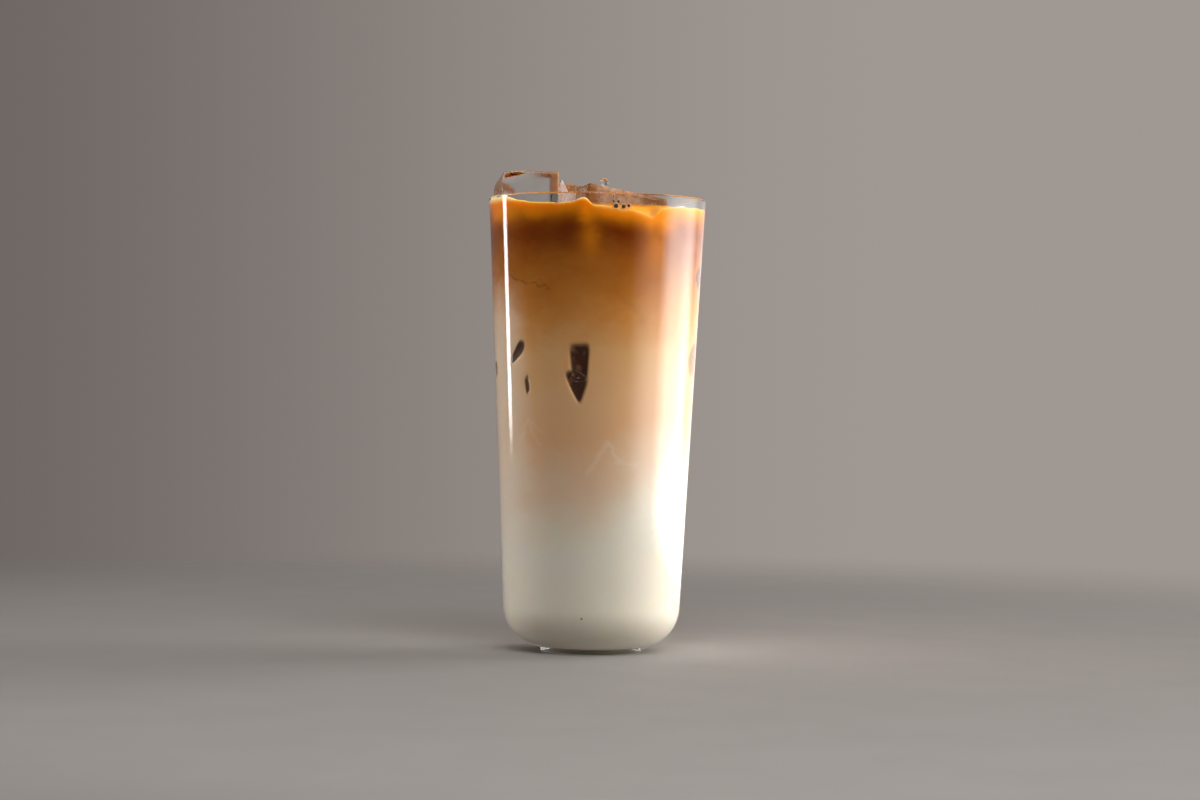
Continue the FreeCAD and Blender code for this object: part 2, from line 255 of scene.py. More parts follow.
def ripple(points: Array, wave: float, seed: float) -> Array:
    """Soft unevenness between about -1 and 1: a mean of three sines along slanting directions.

    Args:
        points: one point a row; wave: the length of the longest wave; seed: shifts the pattern.

    Returns:
        One value a point.
    """
    x, y, z = np.moveaxis(points / wave * 2 * math.pi, -1, 0)
    first = np.sin(x + 0.7 * y + seed) * np.cos(0.8 * z - 0.3 * x + 2.1 * seed)
    second = np.sin(1.9 * z + 1.1 * y + 1.7 * seed) * np.cos(1.6 * x - 0.5 * z)
    third = np.sin(3.1 * y - 2.3 * x + 2.9 * seed)
    return (first + 0.6 * second + 0.35 * third) / 1.95


def give_attribute(piece: bpy.types.Object, name: str, values: Array) -> None:
    """Stores one number a vertex under a name that materials can read.

    Args:
        piece: the mesh object; name: the attribute's name; values: one number a vertex.
    """
    attribute = piece.data.attributes.new(name, "FLOAT", "POINT")
    attribute.data.foreach_set("value", np.asarray(values, np.float32))


# ---------------------------------------------------------------- shader writing


def operator(operation: str, swapped: bool = False) -> "Callable[[Value, Value | Number], Value]":
    """Makes the method behind one arithmetic operator of a shader's numbers.

    Args:
        operation: what its Math node does; swapped: whether it is the reflected form, other first.

    Returns:
        The method.
    """

    def apply(self: "Value", other: "Value | Number") -> "Value":
        """Adds the operator's Math node."""
        return self.math(operation, *((other, self) if swapped else (self, other)))

    return apply


class Value:
    """A number in a shader: arithmetic on it adds Math nodes to its tree."""

    def __init__(self, shader: "Shader", socket: Socket) -> None:
        """Wraps an output socket of a shader's tree."""
        self.shader = shader
        self.socket = socket

    def math(self, operation: str, *numbers: "Value | Number") -> "Value":
        """Adds one Math node on these numbers."""
        node = self.shader.node("ShaderNodeMath", {"operation": operation}, dict(enumerate(numbers)))
        return Value(self.shader, node.outputs[0])

    __add__ = __radd__ = operator("ADD")
    __mul__ = __rmul__ = operator("MULTIPLY")
    __sub__, __rsub__ = operator("SUBTRACT"), operator("SUBTRACT", swapped=True)
    __truediv__, __pow__ = operator("DIVIDE"), operator("POWER")
    at_least, at_most = operator("MAXIMUM"), operator("MINIMUM")

    def __neg__(self) -> "Value":
        """-self."""
        return self * -1.0

    def angle_from(self, other: "Value") -> "Value":
        """atan2(self, other), in degrees."""
        return self.math("ARCTAN2", self, other) * (180.0 / math.pi)

    def falling(self) -> "Value":
        """exp(-self^2), a soft bump where self is near 0."""
        return self.math("EXPONENT", -(self * self))

    def rising(self, low: float, high: float) -> "Value":
        """A smooth step from 0 at low to 1 at high; low above high makes it fall."""
        limits = {1: min(low, high), 2: max(low, high), 3: float(low > high), 4: float(low < high)}
        settings = {"interpolation_type": "SMOOTHSTEP"}
        node = self.shader.node("ShaderNodeMapRange", settings, {0: self, **limits})
        return Value(self.shader, node.outputs[0])


class Shader:
    """The node tree of a material, a lamp or the world, written as expressions."""

    def __init__(self, owner: bpy.types.Material | bpy.types.Light | bpy.types.World) -> None:
        """Starts the owner's tree afresh."""
        self.owner = owner
        owner.use_nodes = True
        self.tree = owner.node_tree
        self.tree.nodes.clear()

    @classmethod
    def of_material(cls, name: str) -> "Shader":
        """Starts a new material."""
        return cls(bpy.data.materials.new(name))

    def node(self, kind: str, settings: dict | None = None, sockets: dict | None = None) -> bpy.types.Node:
        """Adds a node.

        Args:
            kind: the node's type name.
            settings: its own settings, set first; "stops" is a colour ramp's (position, colour) list.
            sockets: values or links by input name or number.

        Returns:
            The node.
        """
        made = self.tree.nodes.new(kind)
        for key, setting in (settings or {}).items():
            if key == "stops":
                self._set_stops(made.color_ramp, setting)
            else:
                setattr(made, key, setting)
        for key, given in (sockets or {}).items():
            source = given.socket if isinstance(given, Value) else given
            if isinstance(source, Socket):
                self.tree.links.new(source, made.inputs[key])
            else:
                made.inputs[key].default_value = source
        return made

    @staticmethod
    def _set_stops(ramp: bpy.types.ColorRamp, stops: Sequence[tuple[float, Colour]]) -> None:
        """Gives a ramp its stops, in order of position."""
        while len(ramp.elements) < len(stops):
            ramp.elements.new(1.0)
        for element, (position, colour) in zip(ramp.elements, stops):
            element.position = position
            element.color = (*colour, 1.0)

    def axes(self, vector: Socket) -> tuple[Value, Value, Value]:
        """The x, y and z of a vector."""
        parts = self.node("ShaderNodeSeparateXYZ", None, {0: vector}).outputs
        return tuple(Value(self, parts[i]) for i in range(3))

    def place(self) -> tuple[Socket, Value, Value, Value]:
        """The point in the frame, in millimetres: as a vector, and as its x, y and z."""
        coordinates = self.node("ShaderNodeTexCoord").outputs["Object"]
        scaled = self.node("ShaderNodeVectorMath", {"operation": "SCALE"}, {0: coordinates, "Scale": 1 / MM})
        return scaled.outputs[0], *self.axes(scaled.outputs[0])

    def noise(self, place: Socket, size: float, stretch: Colour = (1, 1, 1),
              detail: float = 2.0, warp: float = 0.0) -> Value:
        """Cloudy noise between 0 and 1.

        Args:
            place: the point in millimetres; size: the clouds' size in millimetres.
            stretch: how much longer the clouds are along each axis.
            detail: how much finer structure they have; warp: how far they are swirled.

        Returns:
            The noise.
        """
        scale = tuple(1.0 / (size * s) for s in stretch)
        at = self.node("ShaderNodeMapping", None, {"Vector": place, "Scale": scale})
        inputs = {"Vector": at.outputs[0], "Scale": 1.0, "Detail": detail, "Distortion": warp}
        return Value(self, self.node("ShaderNodeTexNoise", None, inputs).outputs[0])

    def attribute(self, name: str) -> Value:
        """A number stored on the mesh."""
        return Value(self, self.node("ShaderNodeAttribute", {"attribute_name": name}).outputs["Fac"])

    def ramp(self, position: Value, stops: Sequence[tuple[float, Colour]]) -> Socket:
        """A colour that changes with a number."""
        return self.node("ShaderNodeValToRGB", {"stops": stops}, {0: position}).outputs[0]

    def mix(self, share: Value | Number, first: Colour | Socket, second: Colour | Socket) -> Socket:
        """The first colour, giving way to the second as share goes to 1.

        Args:
            share: how much of the second; first, second: colours or colour sockets.

        Returns:
            The mixed colour.
        """
        colours = [c if isinstance(c, Socket) else (*c, 1.0) for c in (first, second)]
        sockets = {0: share, 6: colours[0], 7: colours[1]}
        return self.node("ShaderNodeMix", {"data_type": "RGBA"}, sockets).outputs[2]

    def bump(self, height: Value, strength: float, depth: float) -> Socket:
        """A normal tipped by the slope of a height, depth metres tall at strength 1."""
        sockets = {"Height": height, "Strength": strength, "Distance": depth}
        return self.node("ShaderNodeBump", None, sockets).outputs[0]

    def principled(self, sockets: dict) -> Socket:
        """A Principled surface with these inputs, the rest left as they are."""
        return self.node("ShaderNodeBsdfPrincipled", None, sockets).outputs[0]

    def finish(self, surface: Socket) -> bpy.types.Material:
        """Makes this the material's surface and returns the material."""
        self.node("ShaderNodeOutputMaterial", None, {"Surface": surface})
        return self.owner

    def finish_clear(self, clear: Socket, cover: Socket | None = None,
                     covered: "Value | None" = None) -> bpy.types.Material:
        """The same for a clear surface that lets lamps and soft light straight through.

        Args:
            clear: the clear surface; cover: what lies over it; covered: how much of it is covered.

        Returns:
            The material.
        """
        for output in ("Is Diffuse Ray", "Is Shadow Ray"):
            path = self.node("ShaderNodeLightPath").outputs[output]
            through = self.node("ShaderNodeBsdfTransparent").outputs[0]
            clear = self.node("ShaderNodeMixShader", None, {0: path, 1: clear, 2: through}).outputs[0]
        if cover is not None:
            clear = self.node("ShaderNodeMixShader", None, {0: covered, 1: clear, 2: cover}).outputs[0]
        return self.finish(clear)


# ---------------------------------------------------------------- marks on the wall of the drink


MM_PER_DEGREE = 0.565  # along the inside of the wall


def not_below(value: "Value | Array", least: float) -> "Value | Array":
    """The value, or least where it is smaller, for numbers in a shader and for arrays alike."""
    return value.at_least(least) if isinstance(value, Value) else np.maximum(value, least)


@dataclass(frozen=True)
class WallShape:
    """A convex patch with softened corners on the inside of the wall."""

    corners: tuple[tuple[float, float], ...]  # anticlockwise from outside: degrees, millimetres
    depth: float = 1.2  # millimetres, how far the drink is dented under it
    share: float = 1.0  # how strongly it takes the window colour, a painted shade
    softness: float = 0.2  # of its edge, as a part of its size
    squareness: float = 5.0

    @property
    def middle(self) -> tuple[float, float]:
        """The mean of its corners."""
        return tuple(np.mean(self.corners, axis=0))

    def gauge(self, bearing: "Value | Array", height: "Value | Array") -> "Value | Array":
        """How far out a place is: 0 in the middle, 1 on the edge, growing evenly outwards.

        It is the sum over the sides of (max(n . (p - m), 0) / d)^k, to the power 1 / k, with m the
        middle, n a side's outward normal, d the side's distance from m and k the squareness.

        Args:
            bearing: degrees; height: millimetres.

        Returns:
            One value a place.
        """
        middle = np.asarray(self.middle)
        ends = (np.asarray(self.corners) - middle) * (MM_PER_DEGREE, 1.0)
        across, up = (bearing - float(middle[0])) * MM_PER_DEGREE, height - float(middle[1])
        total = 0.0
        for here, after in zip(ends, np.roll(ends, -1, axis=0)):
            normal = np.array([after[1] - here[1], here[0] - after[0]])
            normal /= normal @ here
            reach = across * float(normal[0]) + up * float(normal[1])
            total = not_below(reach, 0.0) ** self.squareness + total
        return total ** (1.0 / self.squareness)

    def shade(self, bearing: "Value", height: "Value") -> "Value":
        """How strongly a place on the drink takes the shape's colour."""
        return self.gauge(bearing, height).rising(1.0 + self.softness, 1.0 - self.softness) * self.share


@dataclass(frozen=True)
class Stroke:
    """A soft straight line on the side of the drink."""

    start: tuple[float, float]  # degrees, millimetres
    end: tuple[float, float]
    width: float  # millimetres
    share: float

    def shade(self, bearing: "Value", height: "Value") -> "Value":
        """How strongly a place takes the line's colour: share exp(-(d / width)^2), d its distance."""
        run = (self.end[0] - self.start[0]) * MM_PER_DEGREE, self.end[1] - self.start[1]
        across, up = (bearing - self.start[0]) * MM_PER_DEGREE, height - self.start[1]
        square = run[0] ** 2 + run[1] ** 2
        along = (across * (run[0] / square) + up * (run[1] / square)).at_least(0.0).at_most(1.0)
        aside, off = across - along * run[0], up - along * run[1]
        return ((aside * aside + off * off) ** 0.5 / self.width).falling() * self.share


def strongest(marks: "Sequence[WallShape | Stroke | Pool]", bearing: "Value", height: "Value") -> "Value":
    """The strongest shade of several marks at a place."""
    shades = [mark.shade(bearing, height) for mark in marks]
    total = shades[0]
    for shade in shades[1:]:
        total = total.at_least(shade)
    return total


@dataclass(frozen=True)
class Pool:
    """A soft oval patch of colour on the side of the drink."""

    bearing: float  # degrees
    height: float  # millimetres
    half_width: float  # degrees
    half_height: float  # millimetres
    share: float  # how much of its colour shows in its middle

    def shade(self, bearing: "Value", height: "Value") -> "Value":
        """share exp(-(db / w)^2 - (dz / h)^2)."""
        sideways = (bearing - self.bearing) / self.half_width
        upwards = (height - self.height) / self.half_height
        return ((sideways * sideways + upwards * upwards) ** 0.5).falling() * self.share


# where sunk cubes touch the wall: the drink is dented there and painted with shade
SUNK_SHAPES = (
    WallShape(((-15.0, 101.0), (-12.6, 89.0), (-4.2, 89.0), (-3.0, 101.4))),
    WallShape(((-18.6, 91.5), (-15.0, 88.0), (-10.5, 80.9), (-8.4, 81.0), (-3.2, 90.5), (-12.0, 93.6))),
    WallShape(((-59.0, 94.8), (-54.0, 95.0), (-45.0, 98.8), (-43.6, 102.0), (-48.0, 102.6)), 0.7, 0.95),
    WallShape(((-44.6, 89.6), (-43.0, 84.6), (-40.6, 86.5), (-42.0, 91.4)), 0.5, 0.9, 0.3),
    WallShape(((-84.0, 95.0), (-81.0, 90.2), (-77.0, 92.5), (-79.0, 96.0)), 0.5, 0.8, 0.25),
    WallShape(((71.5, 124.0), (80.0, 119.5), (84.0, 122.0), (82.0, 128.6), (76.0, 128.0)), 0.8, 0.95, 0.2),
    WallShape(((68.0, 97.0), (72.0, 91.5), (84.0, 92.0), (84.0, 103.6), (74.0, 102.0)), 0.7, 0.6, 0.3),
)


# ---------------------------------------------------------------- finishes


@dataclass(frozen=True)
class ClearGlassFinish:
    """Thin clear glass with the faint unevenness of a blown wall."""

    tint: Colour = (0.985, 0.992, 0.99)
    refraction: float = 1.5
    waviness: float = 0.02 * MM

    def material(self) -> bpy.types.Material:
        """Builds the material."""
        shader = Shader.of_material("clear_glass")
        place, *_ = shader.place()
        waves = shader.noise(place, 2.4, (1, 1, 1.6), 3.0)
        sockets = {
            "Base Color": (*self.tint, 1), "Roughness": 0.0, "IOR": self.refraction,
            "Transmission Weight": 1.0, "Normal": shader.bump(waves, 1.0, self.waviness),
        }
        return shader.finish_clear(shader.principled(sockets))


@dataclass(frozen=True)
class DrinkFinish:
    """Milk fading up through milky coffee into dark coffee, with pools and wisps, painted glow pools and a
    painted glowing edge, a painted reflection veil on the left and painted shade at the sunk ice.
    """

    layers: tuple[tuple[float, Colour], ...] = (  # height in millimetres
        (6.0, (0.80, 0.75, 0.64)),
        (33.0, (0.80, 0.75, 0.645)),
        (42.0, (0.78, 0.68, 0.54)),
        (49.0, (0.77, 0.60, 0.44)),
        (58.0, (0.76, 0.545, 0.365)),
        (70.0, (0.74, 0.46, 0.255)),
        (84.0, (0.74, 0.465, 0.245)),
        (98.0, (0.71, 0.42, 0.185)),
        (109.0, (0.63, 0.29, 0.075)),
        (118.0, (0.53, 0.205, 0.032)),
        (128.0, (0.40, 0.13, 0.012)),
        (137.0, (0.26, 0.060, 0.004)),
        (146.0, (0.25, 0.052, 0.003)),
    )
    dark: Colour = (0.140, 0.011, 0.0007)
    # painted glow: light shining through the coffee, painted into its colour as orange
    glow: Colour = (0.97, 0.33, 0.004)
    # edge: painted light, a bright band just below the shore
    edge: Colour = (0.95, 0.46, 0.09)
    # film: a thin coffee film high on the wall, partly its own paler colour and partly painted light from
    # the pale backdrop behind it and mirrored in it
    film: Colour = (0.94, 0.60, 0.30)
    # windows where sunk ice meets the wall: the deep colour is painted shade inside the dent, the pale one a
    # milky film
    shaded_window: Colour = (0.085, 0.030, 0.015)
    pale_window: Colour = (0.26, 0.105, 0.05)
    # milk: the wisps' own colour, also the colour of the painted reflection veil on the left
    milk: Colour = (0.86, 0.78, 0.66)
    cloud_lift: float = 15.0  # millimetres that clouds and folds move the layers
    fold_lift: float = 5.0
    lean: float = 13.0  # millimetres the lower layers rise towards +X
    glow_depth: float = 4.2  # millimetres down from the shore that the painted glow reaches
    glow_share: float = 0.9
    lit_edge_depth: float = 0.7
    lit_edge_share: float = 0.65
    film_and_reflection_heights: tuple[float, float] = (147.0, 149.0)
    painted_veil_share: float = 0.5  # of milk colour, a painted reflection over the left side below about 115 millimetres
    refraction: float = 1.12  # of the drink against the glass
    open_refraction: float = 1.34
    dark_pools: tuple[Pool, ...] = (
        Pool(12.0, 139.0, 13.0, 5.0, 0.9),
        Pool(-16.0, 141.5, 7.0, 5.5, 0.75),
        Pool(-28.7, 141.4, 2.4, 1.8, 0.6),
        Pool(-40.0, 139.0, 12.0, 4.0, 0.35),
    )
    # painted glow: orange pools where light shines through the coffee
    glow_pools: tuple[Pool, ...] = (
        Pool(-5.6, 145.0, 4.2, 6.0, 1.0),
        Pool(-4.0, 135.5, 5.0, 6.0, 0.45),
        Pool(10.0, 144.0, 11.0, 1.8, 0.75),
        Pool(38.0, 142.5, 7.5, 6.0, 0.8),
        Pool(34.0, 133.0, 7.0, 7.0, 0.35),
        Pool(-62.0, 144.5, 18.0, 4.0, 0.75),
        Pool(-36.0, 144.0, 12.0, 2.2, 0.5),
    )
    wisps: tuple[Stroke, ...] = (
        Stroke((-2.4, 59.0), (8.2, 69.0), 0.9, 0.26),
        Stroke((8.2, 69.0), (14.0, 63.5), 0.8, 0.28),
        Stroke((14.0, 63.5), (26.0, 62.0), 1.3, 0.22),
        Stroke((-49.0, 70.0), (-41.1, 76.3), 0.8, 0.2),
        Stroke((-41.1, 76.3), (-33.0, 69.0), 0.9, 0.18),
    )
    creases: tuple[Stroke, ...] = (
        Stroke((-54.0, 123.4), (-40.0, 121.2), 0.45, 0.4),
        Stroke((-40.0, 121.2), (-24.0, 119.2), 0.4, 0.4),
        Stroke((14.0, 118.0), (27.0, 109.0), 1.3, 0.10),
    )

    def material(self) -> bpy.types.Material:
        """Builds the material."""
        shader = Shader.of_material("drink")
        place, x, y, z = shader.place()
        bearing = x.angle_from(-y)
        clouds = shader.noise(place, 16.0, (1, 1, 0.8), 3.0, 0.6) - 0.5
        folds = shader.noise(place, 6.0, (1, 1, 0.6), 3.0, 0.8) - 0.5
        unrest = z.rising(12.0, 60.0)
        lean = x.rising(-3.0, 20.0) * z.rising(112.0, 60.0) * self.lean
        height = z - lean + clouds * self.cloud_lift * unrest + folds * self.fold_lift * unrest
        top = self.layers[-1][0]
        colour = shader.ramp(height / top, [(stop / top, shade) for stop, shade in self.layers])
        moved, shift = z + clouds * 3.0 + folds * 2.0, bearing + clouds * 6.0 + folds * 5.0
        colour = shader.mix(strongest(self.dark_pools, shift, moved), colour, self.dark)
        # painted light: the glow pools turn the coffee orange
        colour = shader.mix(strongest(self.glow_pools, shift, moved), colour, self.glow)
        wave, swing = z + folds * 9.0, bearing + clouds * 18.0
        colour = shader.mix(strongest(self.wisps, swing, wave), colour, self.milk)
        # painted reflection: the left side, below about 115 millimetres, lightened towards milk for the veil
        # of soft light from the left
        painted_veil = (bearing + clouds * 16.0).rising(-36.0, -58.0) * (z + clouds * 20.0).rising(127.0, 106.0)
        colour = shader.mix(painted_veil * bearing.rising(-150.0, -110.0) * self.painted_veil_share, colour, self.milk)
        colour = shader.mix(strongest(self.creases, swing, wave), colour, self.dark)
        below = shader.attribute("below_edge")
        # painted glow: orange down from the shore, and in from the wall on the top
        colour = shader.mix((below / self.glow_depth).falling() * self.glow_share, colour, self.glow)
        # painted light: a bright band right at the shore
        colour = shader.mix((below / self.lit_edge_depth).falling() * self.lit_edge_share, colour, self.edge)
        # partly painted reflection: the drink above these heights turns pale peach
        colour = shader.mix(z.rising(*self.film_and_reflection_heights), colour, self.film)
        mottle = shader.noise(place, 2.6, (1, 1, 1.4), 2.0)
        # painted shade: the dark drink seen through the sunk ice, mottled with a paler milky film
        ice = shader.mix(mottle.rising(0.5, 0.75), self.shaded_window, self.pale_window)
        colour = shader.mix(strongest(SUNK_SHAPES, bearing, z), colour, ice)
        sockets = {
            "Base Color": colour, "Roughness": 0.08, "IOR": self.refraction,
            "Coat Weight": shader.attribute("open_top"), "Coat Roughness": 0.03,
            "Coat IOR": self.open_refraction, "Subsurface Weight": 1.0, "Subsurface Scale": 3 * MM,
            "Subsurface Radius": (1.0, 0.75, 0.5),
        }
        return shader.finish(shader.principled(sockets))


@dataclass(frozen=True)
class IceFinish:
    """Clear wet ice, covered where its film attribute says so.

    Its tone attribute chooses the film: 0 is coffee, a half is milky coffee and 1 is white, a painted glint.
    """

    name: str
    clear: Colour = (0.985, 0.988, 0.99)
    coffee: Colour = (0.30, 0.125, 0.045)
    milky: Colour = (0.66, 0.43, 0.27)
    # painted glint: white on the shard and chip where light flashes off the ice
    glint_white: Colour = (0.95, 0.98, 1.0)
    refraction: float = 1.31
    waviness: float = 0.2 * MM

    def material(self) -> bpy.types.Material:
        """Builds the material."""
        shader = Shader.of_material(self.name)
        place, *_ = shader.place()
        waves = shader.noise(place, 5.0, (1, 1, 1), 2.0)
        normal = shader.bump(waves, 0.6, self.waviness)
        grain = shader.noise(place, 1.6, (1, 1, 1), 3.0, 0.6)
        covered = (shader.attribute("film") * (0.5 + grain)).at_most(1.0)
        tones = [(0.0, self.coffee), (0.5, self.milky), (1.0, self.glint_white)]
        colour = shader.ramp(shader.attribute("tone"), tones)
        shaded = shader.mix(grain.rising(0.75, 0.3) * 0.3, colour, self.coffee)
        ice = {
            "Base Color": (*self.clear, 1), "Roughness": 0.02, "IOR": self.refraction,
            "Transmission Weight": 1.0, "Normal": normal,
        }
        film = {"Base Color": shaded, "Roughness": 0.2, "IOR": 1.34, "Normal": normal}
        clear = shader.principled(ice)
        cover = shader.principled(film)
        return shader.finish_clear(clear, cover, covered)


@dataclass(frozen=True)
class PlainFinish:
    """A small glossy thing of nearly one colour, mottled a little."""

    name: str
    colour: Colour
    mottle: Colour
    grain: float  # millimetres
    roughness: float = 0.15

    def material(self) -> bpy.types.Material:
        """Builds the material."""
        shader = Shader.of_material(self.name)
        place, *_ = shader.place()
        grain = shader.noise(place, self.grain, (1, 1, 1), 2.0)
        sockets = {
            "Base Color": shader.mix(grain, self.colour, self.mottle), "Roughness": self.roughness,
            "IOR": 1.34,
        }
        return shader.finish(shader.principled(sockets))


# ---------------------------------------------------------------- the glass


@dataclass
class Tumbler:
    """The tapered glass: straight side, rounded heel, low foot with a shallow hollow under it."""

    box: tuple[Vector, Vector] = field(default_factory=lambda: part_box("glass"))
    heel_radius: float = 28.65 * MM  # where the side, carried down, meets the bottom
    heel_round: float = 13.5 * MM
    foot_radius: float = 16.8 * MM
    foot_height: float = 1.5 * MM
    foot_round: float = 0.2 * MM
    hollow_radius: float = 13.5 * MM
    hollow_depth: float = 1.6 * MM
    wall: float = 1.3 * MM
    floor: float = 4.0 * MM
    inner_heel_round: float = 11.5 * MM
    lip_round: float = 0.55 * MM
    rim_margin: float = 0.025 * MM  # past the box, which the lip's curve takes off again
    arc_points: int = 22
    longest_step: float = 3.0 * MM
    around: int = 288

    @cached_property
    def rim_radius(self) -> float:
        """Outside radius the sides reach at the rim; the lip's curve stays 0.028 mm within it."""
        low, high = self.box
        return min(-low.x, -low.y, high.x, high.y) + self.rim_margin

    @property
    def height(self) -> float:
        """Table to rim."""
        return self.box[1].z

    def side_radius(self, z: Array) -> Array:
        """Outside radius of the straight side at a height, carried down below the heel too."""
        share = (z - self.foot_height) / (self.height - self.foot_height)
        return self.heel_radius + (self.rim_radius - self.heel_radius) * share

    def inset(self) -> float:
        """The wall's thickness measured level: wall / cos(taper)."""
        taper = math.atan2(self.rim_radius - self.heel_radius, self.height - self.foot_height)
        return self.wall / math.cos(taper)

    def inner_radius(self, z: Array) -> Array:
        """Inside radius of the straight side at a height."""
        return self.side_radius(z) - self.inset()

    def outline(self) -> Array:
        """The wall's section, from under the middle, out and up, over the lip and down to the inner floor.

        The heel, inner heel, lip and foot edge are arcs. The hollow is z = depth (1 - (r / radius)^2).
        """
        spread = np.linspace(0.0, 1.0, 16)[:-1]
        hollow = np.stack([spread * self.hollow_radius, self.hollow_depth * (1 - spread**2)], axis=1)
        foot = rounded_outline(
            [(self.hollow_radius, 0), (self.foot_radius, 0), (self.foot_radius, self.foot_height)],
            [0, self.foot_round, 0], 4,
        )
        corners = [
            (0, self.foot_height), (self.heel_radius, self.foot_height), (self.rim_radius, self.height),
            (self.rim_radius - self.inset(), self.height),
            (float(self.inner_radius(self.floor)), self.floor), (0, self.floor),
        ]
        radii = [0, self.heel_round, self.lip_round, self.lip_round, self.inner_heel_round, 0]
        body = rounded_outline(corners, radii, self.arc_points)[1:]
        # inside the foot's edge, the underside is left to the foot and the hollow
        keep = (body[:, 0] >= self.foot_radius) | (body[:, 1] > self.foot_height + self.heel_round / 2)
        keep |= body[:, 1] >= self.floor - 1e-9
        return refined(np.concatenate([hollow, foot, body[keep]]), self.longest_step)

    def build(self) -> bpy.types.Object:
        """Makes the glass and dresses it."""
        piece = new_piece("tumbler", *closed_rings(turned(self.outline(), self.around)), 45.0)
        piece.data.materials.append(ClearGlassFinish().material())
        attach(piece, "root")
        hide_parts("glass")
        return piece


# ---------------------------------------------------------------- ice


@dataclass
class IceBlock:
    """A melting cube: a rounded box, softened by planes that cut its corners and by slow ripples."""

    half: tuple[float, float, float]  # millimetres, half its width, depth and height
    centre: tuple[float, float, float]  # millimetres
    turn: tuple[float, float, float]  # yaw, lean, nod in degrees
    edge: float  # millimetres, its edges' rounding
    cuts: tuple[tuple[tuple[float, float, float], float, float], ...] = ()  # normal, offset, softness
    unevenness: float = 0.35  # millimetres
    seed: float = 1.0

    def distance(self, points: Array) -> Array:
        """Signed distance from the block in millimetres, negative inside.

        With q = |p| - (half - edge), it is |max(q, 0)| + min(max(q), 0) - edge, then the smooth
        maximum with each cutting plane n . p - offset, plus the ripples.

        Args:
            points: places in the block's own axes, in millimetres.

        Returns:
            One distance a point.
        """
        beyond = np.abs(points) - (np.asarray(self.half) - self.edge)
        outside = np.linalg.norm(np.maximum(beyond, 0.0), axis=-1)
        reach = outside + np.minimum(beyond.max(axis=-1), 0.0) - self.edge
        for normal, offset, softness in self.cuts:
            direction = np.asarray(normal) / np.linalg.norm(normal)
            plane = points @ direction - offset
            blend = np.maximum(softness - np.abs(reach - plane), 0.0)
            reach = np.maximum(reach, plane) + blend**2 / (4 * softness)
        return reach + self.unevenness * ripple(points, 17.0, self.seed)

    def distance_at(self, places: Array) -> Array:
        """The same for places in the frame, in metres."""
        local = (places / MM - np.asarray(self.centre)) @ turn_matrix(*self.turn)
        return self.distance(local)

    def skin(self, cells: int, limit: Callable[[Array], Array] | None = None) -> Skin:
        """The block's surface: along each direction, where its distance passes 0, found by halving.

        Args:
            cells: spans along a cube edge.
            limit: another signed distance, of places in metres, that the surface stays within.

        Returns:
            Its vertices in metres and its faces.
        """
        directions, faces = cube_sphere(cells)
        directions = directions * np.asarray(self.half)
        directions /= np.linalg.norm(directions, axis=1, keepdims=True)
        turn, centre = turn_matrix(*self.turn), np.asarray(self.centre)
        near, far = np.zeros(len(directions)), np.full(len(directions), 2.0 * max(self.half))
        for _ in range(30):
            middle = (near + far) / 2
            local = directions * middle[:, None]
            reach = self.distance(local)
            if limit is not None:
                reach = np.maximum(reach, limit((local @ turn.T + centre) * MM) / MM)
            inside = reach < 0
            near, far = np.where(inside, middle, near), np.where(inside, far, middle)
        return (directions * near[:, None] @ turn.T + centre) * MM, faces


